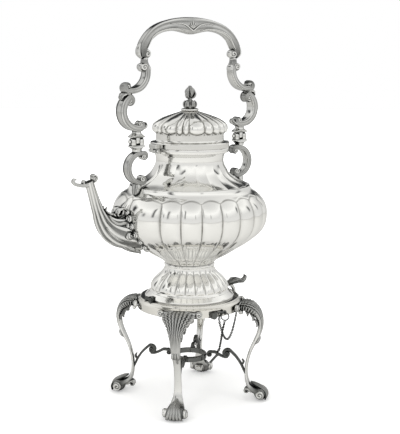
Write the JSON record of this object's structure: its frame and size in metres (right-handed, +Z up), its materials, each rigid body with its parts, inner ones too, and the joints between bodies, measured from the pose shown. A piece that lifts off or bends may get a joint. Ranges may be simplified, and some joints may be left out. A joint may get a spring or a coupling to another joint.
{
  "type": "tilting tea kettle on stand",
  "caption": "Swing-handled silver tea kettle with lobed belly, hinged lid and curved spout, hinged to tip forward on a scroll-legged stand with an open burner ring.",
  "frame": {"origin": "on the table, on the kettle's vertical axis, in the middle between the four feet", "axes": "+Z up, spout along -X, rear hook along +X, the swing handle's axis along X and the hinge axes along Y"},
  "size_m": [0.2488, 0.1832, 0.45],
  "materials": {
    "silver_plate": "polished, tarnish in the recesses",
    "chain_metal": "worn satin"
  },
  "bodies": {
    "stand": {"stand_ring": "silver_plate", "leg_front_left": "silver_plate", "leg_front_right": "silver_plate", "leg_rear_left": "silver_plate", "leg_rear_right": "silver_plate", "arm_front_left": "silver_plate", "arm_front_right": "silver_plate", "arm_rear_left": "silver_plate", "arm_rear_right": "silver_plate", "burner_ring": "silver_plate", "tilt_ear_left": "silver_plate", "tilt_ear_right": "silver_plate", "tilt_pin": "silver_plate", "lock_ears": "silver_plate", "chain_staple": "silver_plate", "chain_bow": "chain_metal", "pin_chain": "chain_metal", "loose_chain": "chain_metal", "loose_pin": "chain_metal"},
    "kettle": {"kettle_belly": "silver_plate", "kettle_neck": "silver_plate", "kettle_foot": "silver_plate", "foot_rim": "silver_plate", "spout": "silver_plate", "spout_strainer": "silver_plate", "bracket_front": "silver_plate", "bracket_rear": "silver_plate", "bail_pin_front": "silver_plate", "bail_pin_rear": "silver_plate", "lid_hinge_seat": "silver_plate", "lid_hinge_pin": "silver_plate", "rim_stop": "silver_plate", "tilt_knuckle": "silver_plate", "rear_hook": "silver_plate"},
    "lid": {"lid_dome": "silver_plate", "lid_band": "silver_plate", "lid_hinge_leaf": "silver_plate", "lid_lift": "silver_plate", "finial_disc": "silver_plate", "finial": "silver_plate", "finial_nut": "silver_plate"},
    "bail": {"bail_grip": "silver_plate", "bail_side_front": "silver_plate", "bail_side_rear": "silver_plate"},
    "pin": {"lock_pin": "chain_metal"}
  },
  "joints": [
    {"name": "kettle_tilt", "type": "hinge", "parent": "stand", "child": "kettle", "pos_m": [-0.0566, 0, 0.1272], "axis": [0, -1, 0], "range_deg": [0, 60]},
    {"name": "lid_hinge", "type": "hinge", "parent": "kettle", "child": "lid", "pos_m": [-0.05, 0, 0.2998], "axis": [0, -1, 0], "range_deg": [0, 33]},
    {"name": "bail_swing", "type": "hinge", "parent": "kettle", "child": "bail", "pos_m": [0, 0, 0.3115], "axis": [1, 0, 0], "range_deg": [-90, 90]},
    {"name": "lock_pin_slide", "type": "slide", "parent": "stand", "child": "pin", "axis": [0, -1, 0], "range_m": [0, 0.016]}
  ]
}
